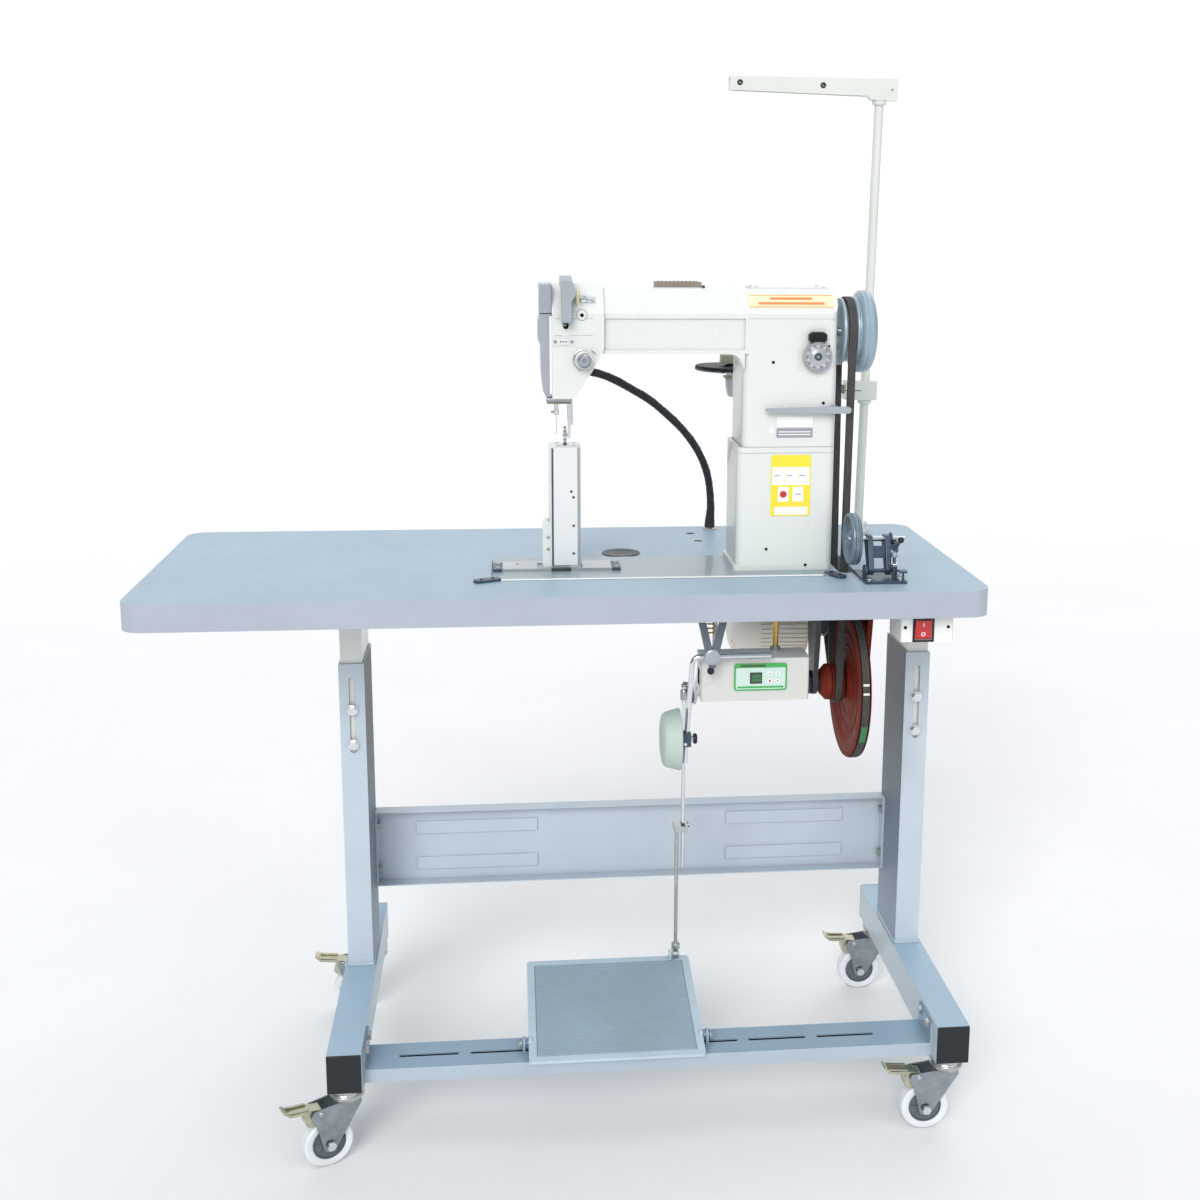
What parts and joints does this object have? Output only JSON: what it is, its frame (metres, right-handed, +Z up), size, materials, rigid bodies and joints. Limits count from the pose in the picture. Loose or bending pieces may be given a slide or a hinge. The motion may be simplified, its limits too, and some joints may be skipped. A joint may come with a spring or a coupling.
{
  "type": "industrial post-bed sewing machine",
  "caption": "Post-bed leather sewing machine on a wheeled height-adjustable stand, with speed reducer, servo motor, treadle, knee lifter and thread stand.",
  "frame": {"origin": "on the floor under the middle of the tabletop", "axes": "+X to the operator's right, +Y away from the operator, +Z up"},
  "size_m": [1.221, 0.5372, 1.6052],
  "materials": {
    "stand_paint": "semi-gloss pale blue-grey enamel",
    "black_plastic": "fine matt moulding",
    "zinc": "zinc plate",
    "wheel_white": "white nylon tread",
    "laminate": "satin blue-grey laminate",
    "head_paint": "gloss warm off-white enamel",
    "grey_paint": "metallic blue-grey enamel",
    "steel": "polished steel",
    "cream_plastic": "satin cream",
    "maroon_iron": "maroon enamel",
    "belt_rubber": "matt black",
    "mint_rubber": "matt mint-grey",
    "dark_metal": "dark blue-grey enamel",
    "red_plastic": "gloss red"
  },
  "bodies": {
    "stand": {"side_frames": "stand_paint", "foot_caps": "black_plastic", "back_panel": "stand_paint", "treadle_crossbar": "stand_paint", "stand_bolts": "zinc"},
    "table": {"tabletop": "laminate", "inner_legs": "stand_paint", "machine_bed": "head_paint", "riser_column": "head_paint", "arm_casting": "head_paint", "face_cover": "grey_paint", "takeup_guard": "grey_paint", "post_body": "head_paint", "post_cover": "steel", "control_box": "cream_plastic", "motor_housing": "cream_plastic", "reducer_bracket": "maroon_iron", "switch_box": "cream_plastic", "thread_pole": "cream_plastic", "winder_base": "dark_metal", "knee_bracket": "grey_paint", "lift_conduit": "belt_rubber", "head_belt": "belt_rubber", "motor_belt": "belt_rubber"},
    "shaft": {"main_shaft": "steel", "handwheel": "grey_paint"},
    "needle": {"needle_bar": "steel"},
    "takeup": {"takeup_lever": "steel"},
    "presser": {"presser_bar": "steel"},
    "roller": {"roller_foot": "steel"},
    "feed": {"feed_wheel": "steel"},
    "hook": {"rotary_hook": "steel"},
    "dial": {"stitch_dial": "steel"},
    "reverse": {"reverse_lever": "steel"},
    "tension": {"tension_knob": "steel"},
    "knee": {"knee_arm": "zinc", "knee_pad": "mint_rubber"},
    "winder": {"winder_arm": "dark_metal"},
    "bobbin_wheel": {"winder_wheel": "grey_paint"},
    "treadle": {"treadle_plate": "stand_paint"},
    "rod_low": {"pitman_lower": "zinc"},
    "rod_high": {"pitman_upper": "zinc"},
    "lever": {"motor_lever": "dark_metal"},
    "counter": {"countershaft": "maroon_iron"},
    "motor": {"motor_pulley": "dark_metal"},
    "rocker": {"rocker_switch": "red_plastic"},
    "guide_arm": {"thread_arm": "cream_plastic"},
    "tray": {"spool_tray": "cream_plastic"},
    "fork_fl": {"caster_fork_fl": "zinc"},
    "wheel_fl": {"caster_wheel_fl": "wheel_white"},
    "brake_fl": {"caster_brake_fl": "zinc"},
    "fork_fr": {"caster_fork_fr": "zinc"},
    "wheel_fr": {"caster_wheel_fr": "wheel_white"},
    "brake_fr": {"caster_brake_fr": "zinc"},
    "fork_rl": {"caster_fork_rl": "zinc"},
    "wheel_rl": {"caster_wheel_rl": "wheel_white"},
    "brake_rl": {"caster_brake_rl": "zinc"},
    "fork_rr": {"caster_fork_rr": "zinc"},
    "wheel_rr": {"caster_wheel_rr": "wheel_white"},
    "brake_rr": {"caster_brake_rr": "zinc"}
  },
  "joints": [
    {"name": "swivel_fl", "type": "hinge", "parent": "stand", "child": "fork_fl", "pos_m": [-0.329, -0.225, 0.1], "axis": [0, 0, 1], "continuous": true},
    {"name": "roll_fl", "type": "hinge", "parent": "fork_fl", "child": "wheel_fl", "pos_m": [-0.35891, -0.23895, 0.0375], "axis": [-0.4226, 0.9063, 0], "continuous": true},
    {"name": "brake_fl", "type": "hinge", "parent": "fork_fl", "child": "brake_fl", "pos_m": [-0.36978, -0.24402, 0.09], "axis": [0.4226, -0.9063, 0], "range_deg": [0, 9]},
    {"name": "swivel_fr", "type": "hinge", "parent": "stand", "child": "fork_fr", "pos_m": [0.581, -0.225, 0.1], "axis": [0, 0, 1], "continuous": true},
    {"name": "roll_fr", "type": "hinge", "parent": "fork_fr", "child": "wheel_fr", "pos_m": [0.548, -0.225, 0.0375], "axis": [0, 1, 0], "continuous": true},
    {"name": "brake_fr", "type": "hinge", "parent": "fork_fr", "child": "brake_fr", "pos_m": [0.536, -0.225, 0.09], "axis": [0, -1, 0], "range_deg": [0, 9]},
    {"name": "swivel_rl", "type": "hinge", "parent": "stand", "child": "fork_rl", "pos_m": [-0.329, 0.225, 0.1], "axis": [0, 0, 1], "continuous": true},
    {"name": "roll_rl", "type": "hinge", "parent": "fork_rl", "child": "wheel_rl", "pos_m": [-0.362, 0.225, 0.0375], "axis": [0, 1, 0], "continuous": true},
    {"name": "brake_rl", "type": "hinge", "parent": "fork_rl", "child": "brake_rl", "pos_m": [-0.374, 0.225, 0.09], "axis": [0, -1, 0], "range_deg": [0, 9]},
    {"name": "swivel_rr", "type": "hinge", "parent": "stand", "child": "fork_rr", "pos_m": [0.581, 0.225, 0.1], "axis": [0, 0, 1], "continuous": true},
    {"name": "roll_rr", "type": "hinge", "parent": "fork_rr", "child": "wheel_rr", "pos_m": [0.548, 0.225, 0.0375], "axis": [0, 1, 0], "continuous": true},
    {"name": "brake_rr", "type": "hinge", "parent": "fork_rr", "child": "brake_rr", "pos_m": [0.536, 0.225, 0.09], "axis": [0, -1, 0], "range_deg": [0, 9]},
    {"name": "table_lift", "type": "slide", "parent": "stand", "child": "table", "axis": [0, 0, 1], "range_m": [0, 0.04]},
    {"name": "main_shaft_spin", "type": "hinge", "parent": "table", "child": "shaft", "pos_m": [0.3, -0.066, 1.216], "axis": [1, 0, 0], "continuous": true},
    {"name": "needle_bar_stroke", "type": "slide", "parent": "table", "child": "needle", "axis": [0, 0, 1], "range_m": [-0.034, 0]},
    {"name": "takeup_swing", "type": "hinge", "parent": "table", "child": "takeup", "pos_m": [0.005, -0.09, 1.248], "axis": [1, 0, 0], "range_deg": [-22, 22]},
    {"name": "presser_lift", "type": "slide", "parent": "table", "child": "presser", "axis": [0, 0, 1], "range_m": [0, 0.009]},
    {"name": "roller_foot_spin", "type": "hinge", "parent": "presser", "child": "roller", "pos_m": [0.0045, -0.066, 1.0628], "axis": [1, 0, 0], "continuous": true},
    {"name": "feed_wheel_spin", "type": "hinge", "parent": "table", "child": "feed", "pos_m": [0.0045, -0.066, 1.035], "axis": [1, 0, 0], "continuous": true},
    {"name": "hook_spin", "type": "hinge", "parent": "table", "child": "hook", "pos_m": [-0.008, -0.055, 1.023], "axis": [0, 1, 0], "continuous": true},
    {"name": "stitch_dial_turn", "type": "hinge", "parent": "table", "child": "dial", "pos_m": [0.372, -0.12, 1.183], "axis": [0, 1, 0], "range_deg": [0, 300]},
    {"name": "reverse_lever_press", "type": "hinge", "parent": "table", "child": "reverse", "pos_m": [0.398, -0.12, 1.105], "axis": [0, -1, 0], "range_deg": [0, 12], "stiffness_Nm_per_rad": 0.6, "springref_deg": -11.46},
    {"name": "tension_nut_turn", "type": "hinge", "parent": "table", "child": "tension", "pos_m": [0.0305, -0.13, 1.178], "axis": [0, 1, 0], "range_deg": [-360, 360]},
    {"name": "knee_lift", "type": "hinge", "parent": "table", "child": "knee", "pos_m": [0.212, -0.189, 0.754], "axis": [0, -1, 0], "range_deg": [0, 20], "stiffness_Nm_per_rad": 3, "springref_deg": -8.59},
    {"name": "winder_tilt", "type": "hinge", "parent": "table", "child": "winder", "pos_m": [0.46, -0.176, 0.874], "axis": [-1, 0, 0], "range_deg": [0, 14]},
    {"name": "winder_spin", "type": "hinge", "parent": "winder", "child": "bobbin_wheel", "pos_m": [0.46, -0.157, 0.918], "axis": [1, 0, 0], "continuous": true},
    {"name": "treadle_rock", "type": "hinge", "parent": "stand", "child": "treadle", "pos_m": [0.0725, -0.197, 0.154], "axis": [1, 0, 0], "range_deg": [-6, 4]},
    {"name": "lower_rod_pivot", "type": "hinge", "parent": "treadle", "child": "rod_low", "pos_m": [0.183, -0.01373, 0.1982], "axis": [1, 0, 0], "range_deg": [-7, 9]},
    {"name": "motor_lever_swing", "type": "hinge", "parent": "table", "child": "lever", "pos_m": [0.198, -0.075, 0.655], "axis": [1, 0, 0], "range_deg": [-20, 14]},
    {"name": "upper_rod_pivot", "type": "hinge", "parent": "lever", "child": "rod_high", "pos_m": [0.193, -0.01373, 0.655], "axis": [1, 0, 0], "range_deg": [-14, 20]},
    {"name": "countershaft_spin", "type": "hinge", "parent": "table", "child": "counter", "pos_m": [0.43, -0.064, 0.672], "axis": [1, 0, 0], "continuous": true},
    {"name": "motor_spin", "type": "hinge", "parent": "table", "child": "motor", "pos_m": [0.43, 0.095, 0.738], "axis": [1, 0, 0], "continuous": true},
    {"name": "power_switch_rock", "type": "hinge", "parent": "table", "child": "rocker", "pos_m": [0.519, -0.214, 0.796], "axis": [1, 0, 0], "range_deg": [-16, 0]},
    {"name": "guide_arm_swivel", "type": "hinge", "parent": "table", "child": "guide_arm", "pos_m": [0.52567, 0.19, 1.58589], "axis": [0.0175, 0, 0.9998], "continuous": true},
    {"name": "spool_tray_swivel", "type": "hinge", "parent": "table", "child": "tray", "pos_m": [0.51722, 0.19, 1.10196], "axis": [0.0175, 0, 0.9998], "range_deg": [-180, 30]}
  ],
  "couplings": [
    {"joint": "hook_spin", "follows": "main_shaft_spin", "ratio": 2},
    {"joint": "feed_wheel_spin", "follows": "main_shaft_spin", "ratio": -0.04},
    {"joint": "countershaft_spin", "follows": "main_shaft_spin", "ratio": 1.6441},
    {"joint": "motor_spin", "follows": "main_shaft_spin", "ratio": 5.6684},
    {"joint": "presser_lift", "follows": "knee_lift", "m_per_rad": 0.025783},
    {"joint": "lower_rod_pivot", "follows": "treadle_rock", "ratio": -1},
    {"joint": "motor_lever_swing", "follows": "treadle_rock", "ratio": 2.9902},
    {"joint": "upper_rod_pivot", "follows": "treadle_rock", "ratio": -2.9902}
  ]
}
